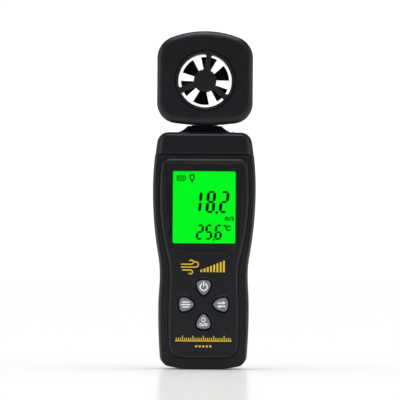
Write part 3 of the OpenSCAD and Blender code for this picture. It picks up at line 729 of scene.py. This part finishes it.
def blend_edges(obj):
    """Melts the edges of a mesh into each other: fine voxels, then a little smoothing."""
    melt = obj.modifiers.new("melt", "REMESH")
    melt.mode = "VOXEL"
    melt.voxel_size = 0.28 * MM
    smooth = obj.modifiers.new("smooth", "SMOOTH")
    smooth.factor = 0.5
    smooth.iterations = 6
    bpy.context.view_layer.objects.active = obj
    bpy.ops.object.modifier_apply(modifier="melt")
    bpy.ops.object.modifier_apply(modifier="smooth")


def top_cap():
    """Cap with a collar blended into its roof, a scoop in front of the neck and a lanyard bar."""
    s = Solid()
    front, back = s.skin(cap_sections())
    s.plate(front)
    s.plate(back)
    obj = s.build("top_cap")
    obj.modifiers.remove(obj.modifiers["weighted normals"])
    combine(obj, collar(), "UNION")
    cut(obj, scoop())
    blend_edges(obj)
    for tool in cap_tools():
        cut(obj, tool)
    settle(obj, "case", "case_plastic", ["top_cap"])
    bar = Solid()
    bar.disc([(0.95, 6.9), (0.95, 12.6)], STRAP, "Y", 32)
    place(bar, "lanyard_bar", "case", "case_plastic")


def scoop():
    """Ellipsoid that is taken out of the collar in front of the neck."""
    half_w, half_d, half_h = 6.6, 4.4, 3.1
    middle_y, middle_z = -11.2, 117.2
    ball = Solid()
    ball.disc([(sin(radians(a)), -cos(radians(a))) for a in range(2, 180, 4)], (0, 0), "Z")
    for p in ball.points:
        p.x, p.y, p.z = half_w * p.x, half_d * p.y + middle_y, half_h * p.z + middle_z
    return ball.build("scoop")


def cap_tools():
    """Volumes taken out of the cap: its hollow, the bush and the lanyard pocket."""
    hollow = Solid()
    sections = ((3.9, FRONT_WALL_Y), (3.4, PART_Y), (2.3, 3), (2.3, 9), (3.7, REAR_WALL_Y))
    a, b = hollow.skin([(cap_loop(inset, 1.5), y) for inset, y in sections])
    hollow.plate(a)
    hollow.plate(b)
    bush = Solid()
    bush.disc([(SHAFT_R + 0.06, 108), (SHAFT_R + 0.06, 120)], (0, 0), "Z")
    pocket = Solid()
    pocket.disc([(3.0, 7.6), (3.0, 12)], (STRAP[0], STRAP[1] + 0.4), "Y")
    return [tool.build("cap tool") for tool in (hollow, bush, pocket)]


def battery_door():
    """Door with softened edges and five grip ridges, and the barrel that turns on the hinge line."""
    s = Solid()

    def outline(inset, r):
        return rounded_box((inset - DOOR_HW, DOOR_HW - inset),
                           (HINGE[1] - 0.2 + inset, DOOR_TOP_Z - inset), r)

    inner, outer = s.skin([(outline(0, 0.6), DOOR_Y), (outline(0, 0.6), BACK_Y - 0.2),
                           (outline(0.06, 0.55), BACK_Y - 0.06), (outline(0.2, 0.45), BACK_Y)])
    s.plate(inner)
    s.plate(outer)
    for i in range(5):
        ridge = rounded_box((-5 + i * 0.5, 5 - i * 0.5), (56 + 1.5 * i, 56.7 + 1.5 * i), 0.34)
        s.prism(ridge, BACK_Y - 0.1, BACK_Y + 0.35)
    place(s, "battery_door_shell", "door", "door_plastic", ["battery_door"])
    barrel = Solid()
    barrel.disc([(PIN_R, -PIN_X), (PIN_R, -DOOR_HW), (HINGE_R, -DOOR_HW), (HINGE_R, DOOR_HW),
                 (PIN_R, DOOR_HW), (PIN_R, PIN_X)], (0, 0), "Z", 32)
    hinge = place(barrel, "door_barrel", "door", "door_plastic")
    lay_on_hinge(hinge)


# ---------------- display
def window_pane():
    """Clear pane with a softened front edge."""
    s = Solid()
    back, front = s.skin([(window_loop(grow), y) for grow, y in PANE_EDGE])
    s.plate(back)
    s.plate(front)
    place(s, "window_pane", "case", "window", ["display_window"])


def window_mask():
    """Black print behind the window round the display's opening."""
    s = Solid()
    depths = WINDOW_SEAT_Y - 0.01, WINDOW_SEAT_Y + 0.03
    opening = rounded_box((-15.05, 15.05), (60.75, 95.4), 0.65)
    outer = s.skin([(window_loop(-0.1), y) for y in depths])
    inner = s.skin([(opening, y) for y in depths])
    for a, b in zip(outer, inner):
        s.plate(a, [b])
    place(s, "window_mask", "case", "case_plastic", look=mask_black())


def lcd_glass():
    """Lit plate of the display."""
    s = Solid()
    s.prism(rounded_box((-16.9, 16.9), (59.2, 96.8), 0.3), LCD_Y, -9.75)
    place(s, "lcd_glass", "case", "lcd", ["lcd_panel"])


# Strokes of the seven segments as corner numbers: 0 to 5 run round the digit from its lower left corner.
SEGMENTS = {"a": (2, 3), "b": (3, 4), "c": (4, 5), "d": (0, 5), "e": (0, 1), "f": (1, 2), "g": (1, 4)}
DIGITS = {"1": "bc", "2": "abged", "5": "afgcd", "6": "afgedc", "8": "abcdefg"}
SLANT = tan(radians(5))


def across(a, b):
    """Unit vector to the left of the way from a to b."""
    way = (b - a).normalized()
    return Vector((-way.y, way.x))


def segment(a, b, thickness, gap):
    """Six-sided bar from a to b with pointed ends."""
    along = (b - a).normalized()
    side = across(a, b) * thickness / 2
    a, b = a + along * gap, b - along * gap
    tip = along * thickness / 2
    return [a, a + tip + side, b - tip + side, b, b - tip - side, a + tip - side]


def digit(s, char, x, z, width, height, thickness):
    """Seven-segment figure with its lower left corner at (x, z), leaning to the right."""
    corners = [Vector((0, 0)), Vector((0, height / 2)), Vector((0, height)), Vector((width, height)),
               Vector((width, height / 2)), Vector((width, 0))]
    for name in DIGITS[char]:
        a, b = (corners[n] for n in SEGMENTS[name])
        upright = name in "bcef"
        bar = segment(a, b, thickness * (1 if upright else 0.78), 0.12 * thickness)
        s.prism([Vector((x + p.x + p.y * SLANT, z + p.y)) for p in bar], *INK_Y)


def stroke(s, points, width, y0, y1):
    """Bar of even width with round ends along a line of points; a closed line makes a ring."""
    points = [Vector(p) for p in points]
    closed = (points[0] - points[-1]).length < 0.001
    if closed:
        points = [points[-2], *points[:-1], points[0]]
    offsets = []
    for a, b, c in zip(points, points[1:], points[2:]):
        mitre = (across(a, b) + across(b, c)).normalized()
        offsets.append(mitre * width / 2 / max(0.6, mitre.dot(across(a, b))))
    if closed:
        left = [p + offset for p, offset in zip(points[1:], offsets)]
        right = [p - offset for p, offset in zip(points[1:], offsets)]
        ends_left, ends_right = s.skin([(left, y0), (left, y1)]), s.skin([(right, y0), (right, y1)])
        for outer, inner in zip(ends_left, ends_right):
            s.plate(outer, [inner])
        return
    start, end = across(*points[:2]) * width / 2, across(*points[-2:]) * width / 2
    offsets = [start, *offsets, end]
    turns = [Matrix.Rotation(-pi * i / 6, 2) for i in range(1, 6)]
    loop = [p + offset for p, offset in zip(points, offsets)]
    loop += [points[-1] + turn @ end for turn in turns]
    loop += [p - offset for p, offset in reversed(list(zip(points, offsets)))]
    loop += [points[0] - turn @ start for turn in turns]
    s.prism(loop, y0, y1)


def arc(x, z, r, first, last, steps=14):
    return [Vector((x, z)) + r * unit(first + (last - first) * i / steps) for i in range(steps + 1)]


def lcd_marks():
    """Figures of the display in two rows, each with a decimal point."""
    s = Solid()

    def row(figures, z, width, height, thickness, point_x, point_r):
        for char, x in figures:
            digit(s, char, x, z, width, height, thickness)
        s.prism(circle(point_x, z - 0.3, point_r, 20), *INK_Y)

    row((("1", -5.3), ("8", 1.25), ("2", 7.7)), 75.9, 3.0, 9.6, 1.4, 6.05, 0.65)
    row((("2", -3.5), ("5", 0.8), ("6", 5.4)), 62.9, 2.4, 6.5, 1.15, 4.65, 0.5)
    place(s, "lcd_figures", "case", "lcd", look=lcd_ink())


def lcd_icons():
    """Battery gauge, lamp and the signs for metre per second and degree Celsius."""
    s = Solid()

    def line(points, width):
        stroke(s, points, width, *INK_Y)

    # Battery gauge with three bars.
    line([(-13.0, 91.1), (-9.5, 91.1), (-8.9, 92.1), (-9.5, 93.1), (-13.0, 93.1), (-13.0, 91.1)], 0.48)
    for x in (-12.2, -11.2, -10.2):
        s.prism(rounded_box((x - 0.26, x + 0.26), (91.65, 92.55), 0.05), *INK_Y)
    # Lamp with two rays.
    lamp = arc(-5.9, 92.5, 1.0, -50, 230)
    line([*lamp, (-6.3, 91.1), (-5.5, 91.1), lamp[0]], 0.55)
    s.prism([Vector((-6.5, 90.9)), Vector((-5.3, 90.9)), Vector((-5.9, 89.8))], *INK_Y)
    for side in (-1, 1):
        line([(-5.9 + side, 93.6), (-5.9 + 0.35 * side, 94.1)], 0.35)
    # Metre per second.
    for x in (10.3, 10.95, 11.6):
        line([(x, 71.9), (x, 73.1)], 0.4)
    line([(10.3, 73.35), (11.4, 73.35)], 0.4)
    line([(12.2, 71.7), (12.8, 73.7)], 0.42)
    line([*arc(13.75, 73.1, 0.36, 40, 230, 6), *arc(13.75, 72.3, 0.36, 50, -140, 6)], 0.46)
    # Degree Celsius.
    line(arc(10.0, 69.2, 0.42, 0, 360, 14), 0.44)
    line(arc(11.75, 68.1, 1.05, 50, 310, 14), 0.62)
    place(s, "lcd_icons", "case", "lcd", look=lcd_ink())


# ---------------- marks printed on the case
def print_wind():
    """Generic sign of three curling gusts beside rising bars."""
    s = Solid()
    gusts = ((-10.8, -6.0, 50.7, 1.0, 1), (-10.8, -3.9, 49.3, 1.3, 1), (-10.2, -6.4, 47.9, 0.95, -1))
    for start, end, z, r, up in gusts:
        curl = arc(end, z + up * r, r, -90 * up, 140 * up, 12)
        stroke(s, [(start, z), *curl], 0.56, *PRINT_Y)
    for i in range(8):
        x = -1.2 + 1.55 * i
        s.prism(rounded_box((x - 0.45, x + 0.45), (46.9, 48.1 + 0.62 * i), 0.2), *PRINT_Y)
    place(s, "print_wind", "case", "case_plastic", look=YELLOW)


def print_scale():
    """Graduated line below the buttons, with a short row of dots under it."""
    s = Solid()
    s.prism(rounded_box((-13.6, 13.6), (13.55, 13.98), 0.1), *PRINT_Y)
    for i in range(-13, 14):
        tall = 2.3 if i % 5 == 0 else 1.3
        s.prism(rounded_box((i - 0.2, i + 0.2), (14.0, 14.0 + tall), 0.08), *PRINT_Y)
    for i in range(-2, 3):
        s.prism(circle(1.7 * i, 11.2, 0.55, 20), *PRINT_Y)
    place(s, "print_scale", "case", "case_plastic", look=YELLOW)


# ---------------- buttons
def key_cap(k):
    """Button with a rounded top edge, a flange behind the wall and a stem that reaches its switch."""
    s = Solid()
    flange, foot_y, stem_r = 0.85, -10.95, 2.3
    top = [(key_loop(k, KEY_EDGE * (turn - 1)), KEY_TOP_Y + KEY_EDGE * fall) for turn, fall in curve_steps(6)]
    face, under = s.skin([*top, (key_loop(k, 0), KEY_FLANGE_Y[0]), (key_loop(k, flange), KEY_FLANGE_Y[0]),
                          (key_loop(k, flange), KEY_FLANGE_Y[1])])
    s.plate(face)
    s.plate(under)
    s.disc([(stem_r, KEY_FLANGE_Y[0]), (stem_r, foot_y)], key_centre(k), "Y", 32)
    place(s, k + "_cap", k + "_key", "key_plastic", [k + "_button"])


def key_sign(k):
    """White pictogram on a button: on and off, list, change over, or lamp with two small rings."""
    s = Solid()
    centre = key_centre(k)

    def line(points, width):
        stroke(s, [centre + Vector(p) for p in points], width, *SIGN_Y)

    if k == "power":
        line(arc(0, -0.1, 1.75, 125, 415), 0.6)
        line([(0, 0.3), (0, 2.2)], 0.6)
    elif k == "mode":
        for z, half_w in ((1.15, 1.5), (0, 2.1), (-1.15, 1.5)):
            line([(-half_w, z), (half_w, z)], 0.56)
    elif k == "unit":
        for side in (-1, 1):
            arrow = [(-1.9, 0.45), (0.55, 0.45), (0.55, 0.05), (2.1, 0.8), (0.55, 1.75), (0.55, 1.05),
                     (-1.9, 1.05)]
            s.prism([centre + side * Vector(p) for p in arrow], *SIGN_Y)
    else:
        lamp = arc(0, 1.35, 0.85, -50, 230)
        line([*lamp, (-0.3, 0.25), (0.3, 0.25), lamp[0]], 0.4)
        for x in (-1.25, 1.25):
            line(arc(x, -1.1, 0.55, 0, 360, 16), 0.42)
        line([(-0.35, -1.8), (0.35, -0.5)], 0.42)
    place(s, k + "_sign", k + "_key", "key_plastic", look=WHITE)


# ---------------- head
def head_half(front):
    """Half of the head's case with a round hole for the duct; the rear half has counterbored screw holes."""
    s = Solid()
    face = HEAD_FACE_Y
    edge_in = HEAD_FRONT_EDGE if front else HEAD_EDGE
    outside = [(head_loop(edge_in * (1 - turn)), face + HEAD_EDGE * fall) for turn, fall in curve_steps(8)]
    outside += [(head_loop(0), -0.6), (head_loop(0.08), -0.35), (head_loop(0.3), 0),
                (head_loop(WALL), 0), (head_loop(WALL + 0.3), face + 3), (head_loop(WALL + 1.4), face + WALL)]
    plate_edge, inner_edge = s.skin(outside)
    hole_r = RIM_R + 0.2
    mouth = ((hole_r + 0.3, face), (hole_r + 0.08, face + 0.06), (hole_r, face + 0.25), (hole_r, face + WALL))
    hole = s.skin([(circle(0, VANE_Z, r, 96), y) for r, y in mouth])
    bores = screw_bores(s, () if front else HEAD_SCREWS, face, 1, 0.15, 40)
    s.plate(plate_edge, [hole[0], *[bore[0] for bore in bores]])
    s.plate(inner_edge, [hole[1]])
    for bore in bores:
        s.plate(bore[1])
    if not front:
        s.turn_back()
    name = "head_front" if front else "head_rear"
    place(s, name, "head", "head_plastic", [name + "_shell"])


def duct():
    """Duct with a seat for the guard, a rounded lip and a flange behind the head's wall at each mouth."""
    seat_r, lip_r, lip_y = 13.45, 14.2, -12.95
    inner, outer = 0.45, 0.25
    profile = [(DUCT_R, -10.6), (seat_r, -10.6), (seat_r, lip_y + 0.75)]
    profile += [(seat_r + inner - inner * cos(radians(a)), lip_y + inner - inner * sin(radians(a)))
                for a in range(0, 91, 15)]
    profile += [(lip_r - outer + outer * sin(radians(a)), lip_y + outer - outer * cos(radians(a)))
                for a in range(0, 91, 18)]
    profile += [(lip_r, -11.15), (lip_r + 0.6, -11.15)]
    profile += [(r, -y) for r, y in reversed(profile)]
    s = Solid()
    s.lathe(profile, (0, VANE_Z), steps=128)
    place(s, "duct_ring", "head", "duct_plastic", ["vane_duct"])


def guard_window(i, inset):
    """One of the three openings of a guard: two arcs and two strut edges with filleted corners."""
    half_strut, r_in, r_out = 1.25 + inset, GUARD_HUB_R + inset, DUCT_R - inset
    fillet_in, fillet_out = 0.8, 0.7
    start, span = 8.5 + 120 * i, 120

    def ray(r, angle):
        """Point at a distance from the middle, at an angle clockwise from the top."""
        return r * Vector((sin(radians(angle)), cos(radians(angle))))

    a = degrees(asin((half_strut + fillet_in) / (r_in + fillet_in)))
    b = degrees(asin((half_strut + fillet_out) / (r_out - fillet_out)))
    inner_c, outer_c = ray(r_in + fillet_in, a), ray(r_out - fillet_out, b)
    edge = [inner_c + fillet_in * unit(270 - a + (a - 90) * t / 6) for t in range(7)]
    edge += [outer_c + fillet_out * unit(180 - (90 + b) * t / 8) for t in range(9)]
    first = [Matrix.Rotation(radians(-start), 2) @ p for p in edge]
    second = [Matrix.Rotation(radians(-start - span), 2) @ Vector((-p.x, p.y)) for p in edge]
    rim = [ray(r_out, start + b + (span - 2 * b) * k / 24) for k in range(1, 24)]
    hub = [ray(r_in, start + span - a - (span - 2 * a) * k / 16) for k in range(1, 16)]
    return [p + Vector((0, VANE_Z)) for p in first + rim + list(reversed(second)) + hub]


def guard(front):
    """Ring, three filleted struts and hub of a guard in one piece, with the post that holds the bearing."""
    s = Solid()
    outer_y, inner_y = -GUARD_Y, -GUARD_Y + GUARD_T
    rim_edge = ((13.25, outer_y), (13.4, outer_y + 0.15), (13.4, inner_y))
    rim = s.skin([(circle(0, VANE_Z, r, 96), y) for r, y in rim_edge])
    openings = []
    for i in range(3):
        sections = [(guard_window(i, EDGE_R * (turn - 1)), outer_y + EDGE_R * fall)
                    for turn, fall in curve_steps(4)]
        sections += [(guard_window(i, 0), inner_y - 0.2), (guard_window(i, -0.15), inner_y)]
        openings.append(s.skin(sections))
    s.plate(rim[0], [w[0] for w in openings])
    s.plate(rim[1], [w[1] for w in openings])
    s.disc([(2.4, inner_y - 0.3), (2.4, -5.4)], (0, VANE_Z))
    dome = [(4.6 * sin(radians(a)) + 0.01, outer_y + 0.3 - 0.34 * cos(radians(a))) for a in range(0, 91, 10)]
    s.disc([*dome, (4.6, outer_y + 0.6), (0.01, outer_y + 0.6)], (0, VANE_Z))
    if not front:
        s.turn_back()
    name = "front_guard" if front else "rear_guard"
    place(s, name + "_grille", "head", "guard_plastic", [name])


def rotor():
    """Impeller: hub with rounded rims and six pitched blades with rounded edges."""
    s = Solid()
    length, edge = 4.4, 0.6
    bore_r, cup_r = 0.52, 3.52
    profile = [(bore_r, -length), (HUB_R - edge, -length)]
    profile += [(HUB_R - edge + edge * sin(radians(a)), -length + edge - edge * cos(radians(a)))
                for a in range(15, 91, 15)]
    profile += [(HUB_R, 2.6), (HUB_R - 0.3, length), (cup_r + 0.08, length), (cup_r, length - 0.2),
                (cup_r, 2), (bore_r, 2)]
    s.lathe(profile, (0, VANE_Z))
    for i in range(6):
        blade(s, 10 + 60 * i)
    place(s, "rotor_wheel", "rotor", "impeller_plastic", ["impeller"])


def blade(s, angle):
    """Pitched blade that widens from the hub to the tip, wrapped round the axis."""
    pitch, thickness = radians(45), 0.8
    root_w, tip_w = 4.7, 11.4
    radial, halves = 9, 12
    rows = []
    for i in range(radial):
        r = HUB_R - 0.5 + (TIP_R - HUB_R + 0.5) * i / (radial - 1)
        chord = root_w + (tip_w - root_w) * (r - HUB_R) / (TIP_R - HUB_R)
        row = []
        for side in (1, -1):
            for j in range(halves):
                t = cos(pi * j / halves) * side
                bulge = thickness / 2 * max(0.0, 1 - t ** 4) ** 0.5 * side
                u = t * chord / 2 * cos(pitch) - bulge * sin(pitch)
                y = t * chord / 2 * sin(pitch) + bulge * cos(pitch)
                turn = radians(90 - angle) - u / r
                row.append((r * cos(turn), -y, VANE_Z + r * sin(turn)))
        rows.append(s.line(row))
    for a, b in zip(rows, rows[1:]):
        s.strip(a, b)
    for end in (rows[0], rows[-1]):
        s.faces.append((end[0], end[1], end[-1]))
        for j in range(2, halves):
            s.faces.append((end[j - 1], end[j], end[-j], end[-j + 1]))
        s.faces.append((end[halves - 1], end[halves], end[halves + 1]))


def neck():
    """Swivel shaft with its disc under the head, a clip groove and a flange inside the head."""
    r = SHAFT_R
    bore_r, disc_r, stem_r, flange_r = 2.2, 6.4, 4.6, 6.6
    profile = [(bore_r, 109.4), (r - 0.4, 109.4), (r, 109.8), (r, 110.3), (r - 0.8, 110.3), (r - 0.8, 111.3),
               (r, 111.3), (r, 117.45), (disc_r - 0.1, 117.45), (disc_r, 117.5), (disc_r, 117.65),
               (disc_r - 0.1, 117.7), (stem_r, 117.7), (stem_r, 119.6), (flange_r, 119.6), (flange_r, 120.8),
               (bore_r, 120.8)]
    s = Solid()
    s.lathe(profile, (0, 0), "Z")
    place(s, "neck_spool", "head", "duct_plastic", ["neck"])


# ---------------- the whole object
for subpart in frame["record"]["subparts"]:
    node = frame["nodes"][subpart["node"]]
    node.data.materials.clear()
    node.data.materials.append(LOOKS[subpart["material_slot"]])

for build in (case_front, case_rear, top_cap, battery_door, window_pane, window_mask, lcd_glass, lcd_marks,
              lcd_icons, print_wind, print_scale, duct, rotor, neck):
    build()
for key in KEY_TURN:
    key_cap(key)
    key_sign(key)
for is_front in (True, False):
    head_half(is_front)
    guard(is_front)


# ---------------- studio
CAMERA_AWAY = 3000
CAMERA_SPAN = 193.4
CAMERA_AT = (-2.05, -CAMERA_AWAY, 81.6)
CAMERA_TILT = -0.39
SKY_WHITE = 1.12
MIRRORED_DARK = 0.03
MIRRORED_BAND = 1.18


def camera():
    """Camera far in front of the object, which sees CAMERA_SPAN across at the object."""
    data = bpy.data.cameras.new("camera")
    data.sensor_width = 36
    data.lens = data.sensor_width * CAMERA_AWAY / CAMERA_SPAN
    obj = bpy.data.objects.new("camera", data)
    obj.location = Vector(CAMERA_AT) * MM
    obj.rotation_euler = (pi / 2, radians(CAMERA_TILT), 0)
    bpy.context.collection.objects.link(obj)
    bpy.context.scene.camera = obj


def floor():
    s = Solid()
    s.line([(-1500, -520, 0), (1500, -520, 0), (1500, 3000, 0), (-1500, 3000, 0)])
    s.faces.append((0, 1, 2, 3))
    obj = s.build("floor")
    obj.data.materials.append(floor_white())


def floor_white():
    """Matt white with a weak blurred reflection."""
    mat, tree, bsdf = nodes_of("floor white")
    tree.nodes.remove(bsdf)
    matt = tree.nodes.new("ShaderNodeBsdfDiffuse")
    matt.inputs["Color"].default_value = (0.97, 0.97, 0.97, 1)
    shine = tree.nodes.new("ShaderNodeBsdfGlossy")
    shine.inputs["Roughness"].default_value = 0.18
    both = tree.nodes.new("ShaderNodeMixShader")
    both.inputs["Fac"].default_value = 0.30
    tree.links.new(matt.outputs["BSDF"], both.inputs[1])
    tree.links.new(shine.outputs["BSDF"], both.inputs[2])
    tree.links.new(both.outputs["Shader"], tree.nodes["Material Output"].inputs["Surface"])
    return mat


def light(name, place_at, aim, size, power):
    """Rectangular light that only shines in the plastic; lengths in millimetres, power in watts."""
    data = bpy.data.lights.new(name, "AREA")
    data.shape = "RECTANGLE"
    data.size, data.size_y = size[0] * MM, size[1] * MM
    data.energy = power
    obj = bpy.data.objects.new(name, data)
    obj.location = Vector(place_at) * MM
    obj.rotation_euler = (Vector(aim) - Vector(place_at)).to_track_quat("-Z", "Y").to_euler()
    obj.visible_diffuse = False
    bpy.context.collection.objects.link(obj)


def world():
    """White for soft light; mirrored in the plastic it is dark, except for a band low behind the object."""
    sky = bpy.data.worlds.new("studio")
    sky.use_nodes = True
    tree = sky.node_tree
    way = tree.nodes.new("ShaderNodeTexCoord")
    parts = tree.nodes.new("ShaderNodeSeparateXYZ")
    tree.links.new(way.outputs["Generated"], parts.inputs["Vector"])
    behind = ramp(tree, parts.outputs["Y"], (0.80, 0.95), (0.0, 1.0))
    low = ramp(tree, parts.outputs["Z"], (0.25, 0.45), (1.0, 0.0))
    band = tree.nodes.new("ShaderNodeMath")
    band.operation = "MULTIPLY"
    tree.links.new(behind, band.inputs[0])
    tree.links.new(low, band.inputs[1])
    mirrored = ramp(tree, band.outputs["Value"], (0.0, 1.0), (MIRRORED_DARK, MIRRORED_BAND))
    path = tree.nodes.new("ShaderNodeLightPath")
    strength = tree.nodes.new("ShaderNodeMapRange")
    strength.inputs["To Min"].default_value = SKY_WHITE
    tree.links.new(mirrored, strength.inputs["To Max"])
    tree.links.new(path.outputs["Is Glossy Ray"], strength.inputs["Value"])
    tree.links.new(strength.outputs["Result"], tree.nodes["Background"].inputs["Strength"])
    tree.nodes["Background"].inputs["Color"].default_value = (1, 1, 1, 1)
    sky.cycles.sampling_method = "NONE"
    bpy.context.scene.world = sky


def ramp(tree, value, span, result):
    """Value that runs between two results while the input crosses a span."""
    step = tree.nodes.new("ShaderNodeMapRange")
    for name, number in zip(("From Min", "From Max", "To Min", "To Max"), (*span, *result)):
        step.inputs[name].default_value = number
    tree.links.new(value, step.inputs["Value"])
    return step.outputs["Result"]


def studio():
    camera()
    floor()
    world()
    light("left", (-500, -60, 180), (0, 0, 90), (160, 500), 0.8)
    light("right", (500, -60, 180), (0, 0, 90), (160, 500), 0.65)
    light("top", (0, -60, 620), (0, 0, 60), (400, 240), 1.9)
    bpy.context.scene.view_settings.view_transform = "Standard"


studio()
